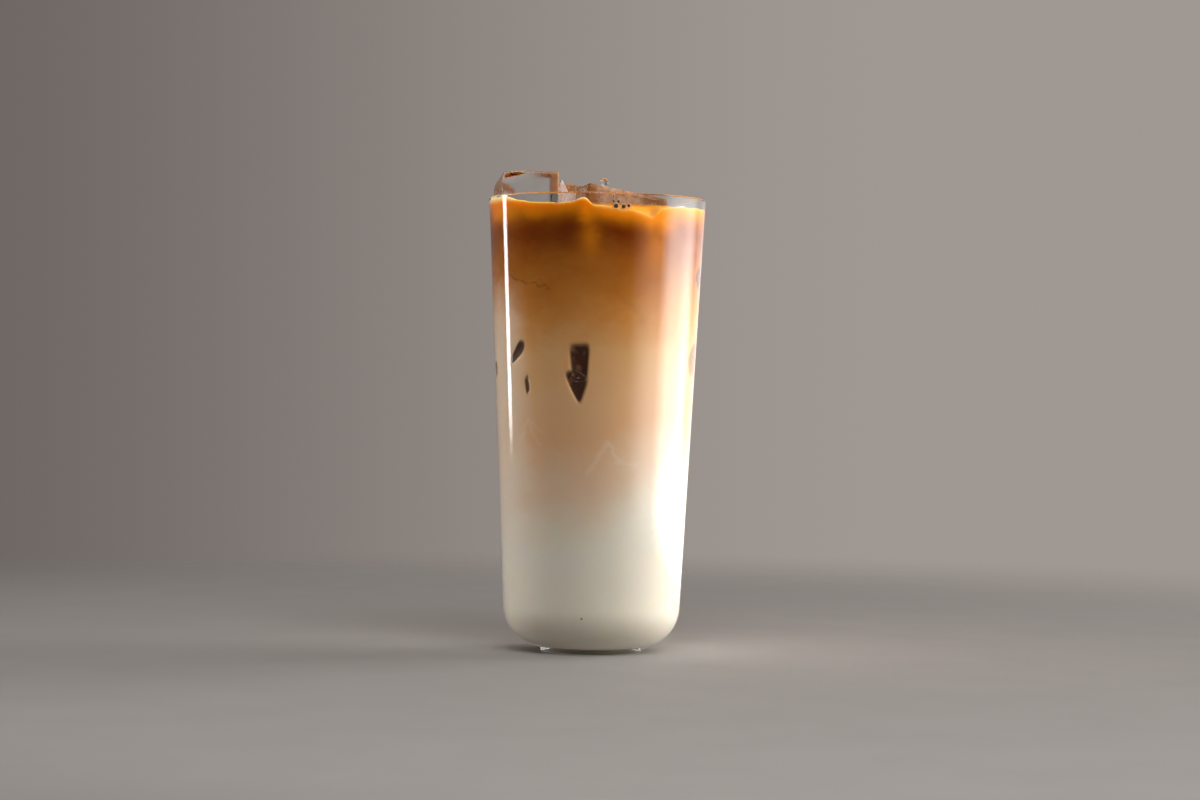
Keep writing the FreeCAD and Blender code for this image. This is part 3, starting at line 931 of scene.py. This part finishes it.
@dataclass
class StandingIce:
    """The three cubes that stand out of the drink, in their frame nodes' places, and two small pieces."""

    tumbler: Tumbler
    cells: int = 44

    def blocks(self) -> dict[str, IceBlock]:
        """The cubes by frame node, and the shard and the chip beside the left one."""
        return {
            "ice_left": IceBlock(
                (9.4, 8.6, 12.0), (-23.8, -5.1, 146.4), (12.0, 0.5, 1.0), 0.55,
                (((-0.405, 0.17, 0.9), 13.2, 3.0),), 0.06, 1.3,
            ),
            "ice_right": IceBlock(
                (13.5, 8.5, 11.0), (6.2, -19.1, 140.1), (13.0, 10.5, -1.0), 1.2,
                (), 0.12, 2.6,
            ),
            "ice_back": IceBlock(
                (11.0, 9.5, 11.0), (-2.9, 18.3, 144.2), (-31.0, 10.0, -4.0), 1.6,
                (((-0.2, 0.1, 0.97), 11.2, 1.5),), 0.3, 4.1,
            ),
            "ice_shard": IceBlock(
                (2.1, 2.2, 8.6), (-11.6, -2.6, 148.3), (10.0, 0.0, 0.0), 0.4,
                (((-0.97, 0.0, 0.25), 2.75, 0.3), ((0.88, 0.0, 0.47), 3.2, 0.3)), 0.1, 6.3,
            ),
            "ice_chip": IceBlock(
                (4.8, 2.4, 2.5), (-8.8, -3.4, 149.2), (-12.0, 5.0, 3.0), 0.7,
                (((0.5, 0.1, 0.86), 3.6, 0.4),), 0.25, 7.9,
            ),
        }

    def inside_rim(self, places: Array) -> Array:
        """Distance out of the glass's inside, in metres, up to the rim; above it there is no limit."""
        radius = np.hypot(places[..., 0], places[..., 1])
        inside = radius - self.tumbler.inner_radius(places[..., 2]) + 0.1 * MM
        return inside - smooth_ramp(0.0, 2.0 * MM, places[..., 2] - self.tumbler.height) * 3.0 * MM

    def film(self, node: str, places: Array) -> Array:
        """How much film covers a cube: coffee clings along its top edges and in patches, less on its faces;
        on the shard and the chip the film is the white of painted glints.

        Args:
            node: which cube; places: its vertices in metres.

        Returns:
            A share from 0 to 1 a vertex.
        """
        x, y, z = (places / MM).T
        above = z - self.tumbler.height / MM  # millimetres above the rim
        patch = smooth_ramp(0.0, 0.6, ripple(places / MM, 9.0, 5.2))
        if node == "ice_left":
            top_edge = smooth_ramp(6.6, 7.9, above) * smooth_ramp(-23.5, -17.0, x)
            right_edge = smooth_ramp(-16.0, -14.9, x) * smooth_ramp(0.5, 2.0, above)
            corner = smooth_ramp(-32.0, -33.6, x) * smooth_ramp(5.0, 6.5, above)
            slant = np.exp(-(((above - 4.6 + 0.5 * (x + 33.7)) / 1.1) ** 2)) * smooth_ramp(-28.0, -29.0, x)
            return np.clip(top_edge + 0.85 * right_edge + 0.2 * corner + 0.9 * slant, 0.0, 1.0)
        if node == "ice_right":
            left_end = smooth_ramp(0.8, -0.8, x)
            return np.clip(0.55 + 0.45 * left_end + 0.2 * patch, 0.0, 1.0)
        # the shard and the chip are partly covered in white painted glints
        if node in ("ice_shard", "ice_chip"):
            return 0.25 + 0.35 * patch
        return np.clip(0.4 + 0.4 * patch, 0.0, 1.0)

    def tone(self, node: str, places: Array) -> Array:
        """Which film a cube has: 0 coffee, a half milky coffee, 1 white, a painted glint.

        Args:
            node: which cube; places: its vertices in metres.

        Returns:
            One value a vertex.
        """
        x, _, z = (places / MM).T
        if node == "ice_right":
            # partly painted shade: the right end's top turns to dark coffee, the shade and coffee seen
            # through the cube there
            shaded_end = smooth_ramp(12.5, 16.0, x) * smooth_ramp(144.5, 146.0, z)
            return 0.5 * smooth_ramp(-0.8, 1.2, x) * (1.0 - 0.9 * shaded_end)
        # the shard and the chip take the white of painted glints
        return np.full_like(x, {"ice_left": 0.1, "ice_back": 0.28, "ice_shard": 1.0, "ice_chip": 1.0}[node])

    def build(self) -> list[bpy.types.Object]:
        """Makes the cubes and dresses them."""
        finish = IceFinish("clear_ice").material()
        frame_cubes = ("ice_left", "ice_right", "ice_back")
        pieces = []
        for node, block in self.blocks().items():
            vertices, faces = block.skin(self.cells, self.inside_rim)
            piece = new_piece(f"{node}_cube", vertices, faces)
            give_attribute(piece, "film", self.film(node, vertices))
            give_attribute(piece, "tone", self.tone(node, vertices))
            piece.data.materials.append(finish)
            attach(piece, "root")
            if node in frame_cubes:
                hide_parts(node)
            pieces.append(piece)
        return pieces


@dataclass
class SunkIce:
    """The corners of sunk cubes that touch the wall: each a plug between the wall and the drink."""

    tumbler: Tumbler
    shapes: tuple[WallShape, ...] = SUNK_SHAPES
    wall_reach: float = 0.3 * MM
    around: int = 40
    rings: int = 9
    back_share: float = 1.04  # of a shape's depth, which takes a plug's back just into the drink

    def dent(self, bearing: Array, height: Array) -> Array:
        """How far the drink stands back from the wall: depth sqrt(1 - gauge^2) under a shape.

        Args:
            bearing: degrees; height: metres.

        Returns:
            Metres, one value a place.
        """
        dents = [
            shape.depth * np.sqrt(np.clip(1.0 - shape.gauge(bearing, height / MM) ** 2, 0.0, None))
            for shape in self.shapes
        ]
        return np.max(dents, axis=0) * MM

    def plug(self, shape: WallShape) -> Array:
        """One plug's skin, from the middle of its back round its edge to the middle of its front.

        A place at share v of the way to the edge, in direction d, is at middle + v d / gauge(d). The
        back is depth sqrt(1 - v^2) inside the wall and reaches just into the drink.

        Args:
            shape: its outline.

        Returns:
            Points as (ring, direction, xyz).
        """
        angle = np.linspace(0.0, 2 * math.pi, self.around, endpoint=False)
        middle = shape.middle
        sideways, upwards = np.cos(angle) / MM_PER_DEGREE, np.sin(angle)
        reach = 1.0 / shape.gauge(middle[0] + sideways, middle[1] + upwards)
        share = np.sin(np.linspace(0.0, math.pi / 2, self.rings))
        out = np.concatenate([share, share[::-1]])[:, None]
        bearing = np.radians(middle[0] + out * reach * sideways - 90.0)
        height = (middle[1] + out * reach * upwards) * MM
        back = -self.back_share * shape.depth * MM * np.sqrt(1.0 - share**2)
        front = np.full(self.rings, self.wall_reach)
        radius = self.tumbler.inner_radius(height) + np.concatenate([back, front])[:, None]
        return np.stack([radius * np.cos(bearing), radius * np.sin(bearing), height], axis=-1)

    def build(self) -> bpy.types.Object:
        """Makes the plugs as one piece and dresses it."""
        vertices, faces = joined([closed_rings(self.plug(shape)) for shape in self.shapes])
        piece = new_piece("sunk_ice", vertices, faces)
        give_attribute(piece, "film", np.zeros(len(vertices)))
        give_attribute(piece, "tone", np.zeros(len(vertices)))
        piece.data.materials.append(IceFinish("sunk_clear_ice").material())
        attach(piece, "root")
        return piece


# ---------------------------------------------------------------- the drink


@dataclass
class Drink:
    """All the drink as one body that reaches just into the wall, dented round the ice."""

    tumbler: Tumbler
    standing: StandingIce
    sunk: SunkIce
    level_drop: float = 3.5 * MM
    wall_reach: float = 0.15 * MM
    ice_rise: float = 0.6 * MM
    rise_width: float = 1.2 * MM
    shore_width: float = 1.5 * MM
    well_depth: float = 9.0 * MM  # how far down a standing cube's hollow goes
    well_wall: float = 1.4 * MM
    # where the drink meets the wall: bearing in degrees, millimetres above the level
    shore: tuple[tuple[float, float], ...] = (
        (-180, 0.7), (-120, 0.8), (-95, 1.8), (-80, 2.9), (-58, 3.0), (-52, 2.2), (-43, 0.9), (-26, 0.1),
        (-14, 0.2), (-10.5, 1.0), (-8, 1.7), (-5.5, 1.8), (-3.5, 0.3), (-1.5, -0.9), (7, -1.5), (18, -2.2),
        (24, -2.8), (28.5, -3.8), (30.5, -4.2), (33, -2.6), (37, -1.2), (42, -0.4), (60, 0.0), (95, 0.4),
        (140, 0.8), (180, 0.7),
    )
    around: int = 400
    rows: int = 150
    rings_on_top: int = 70
    crowding: float = 1.35  # above 1, the top's rings lie closer together at the wall
    eased_over: float = 14.0 * MM  # below the level, where the side's rows follow the shore
    dent_share: float = 1.05  # of a sunk shape's depth
    swell: float = 0.15 * MM
    swell_length: float = 26.0  # millimetres
    glow_reach: float = 6.0 * MM  # how far from the wall the top still counts as near its edge, for the painted glow
    glow_on_top: float = 0.6
    arc_points: int = 20
    longest_step: float = 2.0 * MM

    @property
    def level(self) -> float:
        """Height of the flat surface."""
        return self.tumbler.height - self.level_drop

    def shore_height(self, bearing: Array) -> Array:
        """Height above the level where the drink meets the wall, eased between the given bearings."""
        marks, heights = np.asarray(self.shore).T
        near = [np.interp(bearing + shift, marks, heights) for shift in (-1.2, -0.6, 0.0, 0.6, 1.2)]
        ripples = 0.12 * np.sin(np.radians(bearing) * 23.0) + 0.08 * np.sin(np.radians(bearing) * 41.0 + 1.0)
        return (np.mean(near, axis=0) + ripples) * MM

    def shell_outline(self) -> Array:
        """The section up to the level: inner floor, heel and side, all moved out by the reach."""
        floor, rim = self.tumbler.floor - self.wall_reach, self.level
        low = float(self.tumbler.inner_radius(floor)) + self.wall_reach
        high = float(self.tumbler.inner_radius(rim)) + self.wall_reach
        radii = [0, self.tumbler.inner_heel_round + self.wall_reach, 0]
        section = rounded_outline([(0, floor), (low, floor), (high, rim)], radii, self.arc_points)
        base = refined(section[:-1], self.longest_step)
        heights = np.linspace(base[-1, 1], rim, self.rows + 1)
        radii = self.tumbler.inner_radius(heights) + self.wall_reach
        return np.concatenate([base[:-1], np.stack([radii, heights], axis=1)])

    def surface_height(self, x: Array, y: Array) -> Array:
        """Height of the top: level, plus rise exp(-d / width) at the wall and ice, minus the hollows.

        A hollow's depth follows a smooth ramp over the first well_wall inside the cube.

        Args:
            x, y: places in metres.

        Returns:
            One height a place.
        """
        radius = np.hypot(x, y)
        to_wall = np.maximum(self.tumbler.inner_radius(self.level) - radius, 0.0)
        shore = self.shore_height(np.degrees(np.arctan2(x, -y)))
        by_wall = np.exp(-to_wall / self.shore_width)
        places = np.stack([x, y, np.full_like(x, self.level)], axis=-1)
        height = self.level + self.swell * ripple(places / MM, self.swell_length, 0.4)
        for block in self.standing.blocks().values():
            gap = block.distance_at(places) * MM
            height = height + self.ice_rise * np.exp(-np.maximum(gap, 0.0) / self.rise_width)
            height = height - self.well_depth * smooth_ramp(0.0, self.well_wall, -gap)
        return height + (self.level + shore - height) * by_wall

    def rings(self) -> Array:
        """The whole skin as rings, from the bottom pole to the top one."""
        shell = turned(self.shell_outline(), self.around)
        edge = float(self.tumbler.inner_radius(self.level)) + self.wall_reach
        radii = edge * (1.0 - np.linspace(0.0, 1.0, self.rings_on_top) ** self.crowding)
        angle = np.linspace(0.0, 2 * math.pi, self.around, endpoint=False)
        x, y = radii[:, None] * np.cos(angle), radii[:, None] * np.sin(angle)
        top = np.stack([x, y, self.surface_height(x, y)], axis=-1)
        top[-1] = top[-1].mean(axis=0)
        share = smooth_ramp(self.level - self.eased_over, self.level, shell[..., 2])
        shell[..., 2] += share * (top[0, :, 2] - self.level)[None, :]
        side = shell[..., 2] > self.tumbler.floor + self.tumbler.inner_heel_round
        radius = np.hypot(shell[..., 0], shell[..., 1])
        true_radius = np.where(side, self.tumbler.inner_radius(shell[..., 2]) + self.wall_reach, radius)
        bearing = np.degrees(np.arctan2(shell[..., 0], -shell[..., 1]))
        wanted = true_radius - self.sunk.dent(bearing, shell[..., 2]) * self.dent_share
        shell[..., :2] *= (wanted / np.maximum(radius, 1e-6))[..., None]
        grown = (self.tumbler.inner_radius(top[0, :, 2]) + self.wall_reach) / edge
        top[..., :2] *= 1 + (grown[None, :, None] - 1) * (np.hypot(x, y) / edge)[..., None] ** 8
        return np.concatenate([shell[:-1], top])

    def build(self) -> bpy.types.Object:
        """Makes the drink and dresses it."""
        vertices, faces = closed_rings(self.rings())
        piece = new_piece("latte_drink", vertices, faces, 80.0)
        x, y, z = vertices.T
        on_top = np.arange(len(vertices)) >= len(vertices) - 1 - (self.rings_on_top - 1) * self.around
        give_attribute(piece, "open_top", on_top)
        shore = self.level + self.shore_height(np.degrees(np.arctan2(x, -y)))
        to_wall = np.maximum(self.tumbler.inner_radius(z) - np.hypot(x, y), 0.0)
        inward = self.glow_on_top * np.minimum(to_wall, self.glow_reach)
        depth = np.where(on_top, inward, shore - z)
        give_attribute(piece, "below_edge", depth / MM)
        piece.data.materials.append(DrinkFinish().material())
        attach(piece, "root")
        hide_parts("milk", "latte", "espresso")
        return piece


@dataclass
class SmallThings:
    """The bubbles at the edge of the right cube, the bead on its top and the grains in the milk."""

    tumbler: Tumbler
    # bearing in degrees, height and radius in millimetres
    bubbles: tuple[tuple[float, float, float], ...] = (
        (10.0, 145.7, 0.72), (14.1, 145.6, 0.66), (16.9, 145.9, 0.5), (8.6, 147.2, 0.4), (11.3, 147.1, 0.48),
        (8.5, 148.7, 0.3),
    )
    grains: tuple[tuple[float, float, float], ...] = (
        (-8.5, 45.3, 0.25), (-24.3, 39.3, 0.2), (9.7, 30.7, 0.22), (-6.3, 12.8, 0.3),
    )
    bead_place: tuple[float, float, float] = (2.1, -16.0, 154.6)  # millimetres
    bead_radius: float = 1.3
    around: int = 24
    round_cord: int = 10

    def wall_place(self, bearing: float, height: float, inward: float) -> tuple[Array, Array]:
        """A place near the wall, and the turn whose Z axis points out through it.

        Args:
            bearing: degrees; height, inward: millimetres up and in from the wall's inside.

        Returns:
            The place in metres and a 3 by 3 matrix.
        """
        angle = math.radians(bearing - 90.0)
        out = np.array([math.cos(angle), math.sin(angle), 0.0])
        radius = float(self.tumbler.inner_radius(height * MM)) - inward * MM
        along = np.array([-out[1], out[0], 0.0])
        place = out * radius + np.array([0, 0, height * MM])
        return place, np.stack([along, np.cross(out, along), out], axis=1)

    def ball(self, radii: Sequence[float], cells: int = 8) -> Skin:
        """An egg-shaped ball of these radii in millimetres."""
        directions, faces = cube_sphere(cells)
        return directions * np.asarray(radii) * MM, faces

    def ring(self, radius: float, thick: float) -> Skin:
        """A ring round the Z axis: (R + r cos b) (cos a, sin a), r sin b.

        Args:
            radius, thick: the ring's own radius and its cord's, in millimetres.

        Returns:
            Vertices in metres and faces.
        """
        count, small = self.around, self.round_cord
        a = np.linspace(0.0, 2 * math.pi, count, endpoint=False)[:, None]
        b = np.linspace(0.0, 2 * math.pi, small, endpoint=False)[None, :]
        out = radius + thick * np.cos(b)
        points = np.stack([out * np.cos(a), out * np.sin(a), thick * np.sin(b) + 0 * a], axis=-1) * MM
        i, j = np.meshgrid(np.arange(count), np.arange(small), indexing="ij")
        after, beside = (i + 1) % count, (j + 1) % small
        corners = [i * small + j, after * small + j, after * small + beside, i * small + beside]
        return points.reshape(-1, 3), np.stack(corners, axis=-1).reshape(-1, 4).tolist()

    def dress(self, name: str, skins: Sequence[Skin], material: bpy.types.Material) -> bpy.types.Object:
        """One piece from several skins, with its material and slot."""
        piece = new_piece(name, *joined(skins))
        give_attribute(piece, "film", np.zeros(len(piece.data.vertices)))
        give_attribute(piece, "tone", np.zeros(len(piece.data.vertices)))
        piece.data.materials.append(material)
        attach(piece, "root")
        return piece

    def build(self) -> list[bpy.types.Object]:
        """Makes the bubbles with their rings, the grains and the bead."""
        domes, rings, grains = [], [], []
        for bearing, height, size in self.bubbles:
            place, turn = self.wall_place(bearing, height, 0.25 * size)
            points, faces = self.ball((size, size, 0.55 * size))
            domes.append((points @ turn.T + place, faces))
            points, faces = self.ring(size * 1.08, size * 0.2)
            rings.append((points @ turn.T + place, faces))
        for bearing, height, size in self.grains:
            place, turn = self.wall_place(bearing, height, 0.0)
            points, faces = self.ball((size, size, 0.7 * size), 5)
            grains.append((points @ turn.T + place, faces))
        dome = PlainFinish("bubble_dark", (0.07, 0.03, 0.012), (0.12, 0.055, 0.02), 0.7)
        froth = PlainFinish("bubble_froth", (0.80, 0.55, 0.36), (0.62, 0.38, 0.22), 0.5)
        grain = PlainFinish("coffee_grain", (0.05, 0.025, 0.012), (0.09, 0.05, 0.025), 0.2, 0.5)
        points, faces = self.ball((self.bead_radius,) * 3, 14)
        bead = [(points + np.asarray(self.bead_place) * MM, faces)]
        water = IceFinish("bead_water", refraction=1.33, waviness=0.02 * MM).material()
        return [
            self.dress("surface_bubbles", domes, dome.material()),
            self.dress("bubble_rings", rings, froth.material()),
            self.dress("coffee_grains", grains, grain.material()),
            self.dress("water_bead", bead, water),
        ]


# ---------------------------------------------------------------- light and camera


WARM = (1.0, 0.99, 0.975)
WHITE = (1.0, 1.0, 1.0)
BLACK = (0.0, 0.0, 0.0)


class Reach(Enum):
    """Where a lamp shows: on the floor, on the glass and drink, and as an image in the glass."""

    EVERYTHING = (True, True, True)
    ROOM = (True, True, False)
    OBJECT = (False, True, True)
    SURFACES = (False, True, False)
    MIRRORED = (False, False, True)


@dataclass(frozen=True)
class Fade:
    """How a lamp dies away towards its edges, over shares of its width or height."""

    sides: float
    foot: float
    head: float
    at_top: float = 0.0  # the brightness left at the very top

    def share(self, shader: Shader) -> Value:
        """How bright each spot of the lamp is: the product of one ramp an edge."""
        across, up, _ = shader.axes(shader.node("ShaderNodeNewGeometry").outputs["Parametric"])
        sides = across.rising(0.0, self.sides) * across.rising(1.0, 1.0 - self.sides)
        head = up.rising(1.0, 1.0 - self.head) * (1.0 - self.at_top) + self.at_top
        return sides * head * up.rising(0.0, self.foot)


@dataclass(frozen=True)
class Softbox:
    """A flat lamp that faces the glass."""

    name: str
    bearing: float  # degrees
    distance: float
    bottom: float
    width: float
    height: float
    brightness: float  # radiance
    reach: Reach
    colour: Colour = WHITE
    tilt: float = 0.0  # degrees it looks down
    fade: Fade | None = None

    def shade(self, shader: Shader, fade: Fade) -> None:
        """Dims the lamp towards its edges."""
        colour = shader.mix(fade.share(shader), BLACK, WHITE)
        emission = shader.node("ShaderNodeEmission", None, {"Color": colour, "Strength": 1.0})
        shader.node("ShaderNodeOutputLight", None, {"Surface": emission.outputs[0]})

    def build(self, floor: bpy.types.Object) -> bpy.types.Object:
        """Places the lamp, out of the camera's sight.

        Args:
            floor: the floor, which some lamps leave unlit.

        Returns:
            The lamp.
        """
        lamp = bpy.data.lights.new(self.name, "AREA")
        lamp.shape = "RECTANGLE"
        lamp.size, lamp.size_y = self.width, self.height
        lamp.energy = self.brightness * math.pi * self.width * self.height
        lamp.color = self.colour
        if self.fade is not None:
            self.shade(Shader(lamp), self.fade)
        placed = bpy.data.objects.new(self.name, lamp)
        angle = math.radians(self.bearing - 90.0)
        place = Vector((math.cos(angle), math.sin(angle), 0.0)) * self.distance
        look = Vector((-place.x, -place.y, -self.distance * math.tan(math.radians(self.tilt))))
        placed.rotation_euler = look.to_track_quat("-Z", "Y").to_euler()
        placed.location = (place.x, place.y, self.bottom + self.height / 2)
        on_floor, on_surfaces, as_image = self.reach.value
        placed.visible_camera = False
        placed.visible_glossy = as_image
        placed.visible_diffuse = on_surfaces
        placed.visible_transmission = on_surfaces and as_image
        bpy.context.scene.collection.objects.link(placed)
        if not on_floor:
            spared = bpy.data.collections.new(f"{self.name}_spared")
            spared.objects.link(floor)
            spared.collection_objects[0].light_linking.link_state = "EXCLUDE"
            placed.light_linking.receiver_collection = spared
        return placed


@dataclass
class Studio:
    """A pale floor, soft light and a level camera a little above the middle of the glass."""

    floor_colour: Colour = (0.50, 0.475, 0.455)
    wall_colour: Colour = (0.352, 0.314, 0.288)
    wall_left: Colour = (0.150, 0.130, 0.122)
    wall_turn: tuple[float, float] = (-0.26, 0.12)  # sideways share of a view, dark to light
    room_colour: Colour = (0.035, 0.032, 0.030)
    room_from: float = -0.3  # backward share of a view, room to wall
    wall_from: float = 0.75
    floor_radius: float = 1.2
    fade_from: float = 0.26
    fade_to: float = 0.62
    floor_sides: int = 96
    camera_distance: float = 0.915
    camera_roll: float = 0.87  # degrees
    focal_length: float = 82.5
    sensor_width: float = 36.0
    aim: Vector = field(default_factory=lambda: Vector((1.83 * MM, 0.0, 83.4 * MM)))

    def lamps(self) -> list[Softbox]:
        """A window on the right, with its fading image in the glass, a strip on the left and faint fills.

        A lamp's numbers are its bearing, distance, bottom, width, height and brightness.
        """
        return [
            Softbox("window_right", 113.0, 0.50, -0.30, 0.43, 1.10, 5.6, Reach.SURFACES, WARM),
            Softbox("window_back", 151.0, 0.50, -0.30, 0.26, 1.10, 0.7, Reach.SURFACES, WARM),
            Softbox("window_edge", 77.0, 0.60, -0.30, 0.22, 1.00, 1.8, Reach.SURFACES, WARM),
            Softbox("window_soft", 70.0, 0.90, 0.02, 0.50, 0.80, 2.3, Reach.SURFACES, WARM),
            Softbox("window_floor", 112.0, 1.60, 0.0, 1.30, 1.20, 3.6, Reach.ROOM, WARM),
            Softbox("window_image", 102.0, 0.50, -0.035, 0.64, 0.24, 7.8, Reach.MIRRORED,
                    fade=Fade(0.35, 0.14, 0.42, 0.15)),
            Softbox("window_far", 146.0, 0.50, -0.035, 0.56, 0.24, 1.2, Reach.MIRRORED,
                    fade=Fade(0.3, 0.14, 0.3, 0.2)),
            Softbox("window_veil", 68.0, 0.60, -0.045, 0.80, 0.20, 3.0, Reach.MIRRORED,
                    fade=Fade(0.5, 0.2, 0.5)),
            Softbox("strip_left", -113.5, 0.50, 0.026, 0.085, 0.50, 12.0, Reach.OBJECT,
                    fade=Fade(0.35, 0.08, 0.1)),
            Softbox("glow_left", -101.0, 0.55, 0.02, 0.28, 0.50, 2.6, Reach.SURFACES),
            Softbox("fill_left", -68.0, 1.20, 0.05, 0.35, 0.9, 0.3, Reach.SURFACES),
            Softbox("fill_front", 12.0, 0.65, 0.45, 0.7, 0.6, 3.3, Reach.EVERYTHING, tilt=45.0),
        ]

    def build_world(self) -> None:
        """The backdrop's colour behind and above the glass, giving way to a dim room in front of it."""
        shader = Shader(bpy.data.worlds.new("backdrop"))
        direction = shader.node("ShaderNodeTexCoord").outputs["Generated"]
        across, back, _ = shader.axes(direction)
        wall = shader.mix(across.rising(*self.wall_turn), self.wall_left, self.wall_colour)
        colour = shader.mix(back.rising(self.room_from, self.wall_from), self.room_colour, wall)
        background = shader.node("ShaderNodeBackground", None, {"Color": colour, "Strength": 1.0})
        shader.node("ShaderNodeOutputWorld", None, {"Surface": background.outputs[0]})
        bpy.context.scene.world = shader.owner

    def build_floor(self) -> bpy.types.Object:
        """A round pale floor that fades out into the backdrop."""
        around = np.linspace(0.0, 2 * math.pi, self.floor_sides, endpoint=False)
        vertices = np.stack([np.cos(around), np.sin(around), 0 * around], axis=1) * self.floor_radius
        floor = new_piece("floor", vertices, [list(range(self.floor_sides))])
        shader = Shader.of_material("pale_floor")
        place, x, y, _ = shader.place()
        mottle = shader.noise(place, 30.0, (1, 1, 1), 4.0)
        tone = [tuple(c * k for c in self.floor_colour) for k in (0.93, 1.05)]
        matt = {"Base Color": shader.mix(mottle, *tone), "Roughness": 0.7}
        solid = shader.principled(matt)
        away = (x * x + y * y) ** 0.5
        through = shader.node("ShaderNodeBsdfTransparent").outputs[0]
        gone = away.rising(self.fade_from / MM, self.fade_to / MM)
        faded = shader.node("ShaderNodeMixShader", None, {0: gone, 1: solid, 2: through})
        floor.data.materials.append(shader.finish(faded.outputs[0]))
        floor.visible_glossy = False
        return floor

    def build_camera(self) -> bpy.types.Object:
        """The camera, level with its aim and rolled by a hair."""
        camera = bpy.data.cameras.new("camera")
        camera.lens = self.focal_length
        camera.sensor_width = self.sensor_width
        camera.clip_end = 50.0
        placed = bpy.data.objects.new("camera", camera)
        back = Vector((0.0, -1.0, 0.0))
        placed.location = self.aim + back * self.camera_distance
        roll = Quaternion((0.0, 0.0, 1.0), math.radians(self.camera_roll))
        placed.rotation_mode = "QUATERNION"
        placed.rotation_quaternion = (-back).to_track_quat("-Z", "Y") @ roll
        bpy.context.scene.collection.objects.link(placed)
        bpy.context.scene.camera = placed
        return placed

    def build(self) -> None:
        """Makes the floor, backdrop, lamps and camera."""
        bpy.context.scene.view_settings.view_transform = "Standard"
        self.build_world()
        floor = self.build_floor()
        self.build_camera()
        for lamp in self.lamps():
            lamp.build(floor)


def main() -> None:
    """Builds the object piece by piece, then the studio."""
    logging.basicConfig(level=logging.INFO, format="%(message)s")
    Studio().build()
    tumbler = Tumbler()
    standing = StandingIce(tumbler)
    sunk = SunkIce(tumbler)
    small = SmallThings(tumbler)
    pieces = [
        tumbler.build(), Drink(tumbler, standing, sunk).build(), *standing.build(), sunk.build(),
        *small.build(),
    ]
    for piece in pieces:
        LOG.info("%s: %d faces", piece.name, len(piece.data.polygons))


if __name__ == "__main__":
    main()
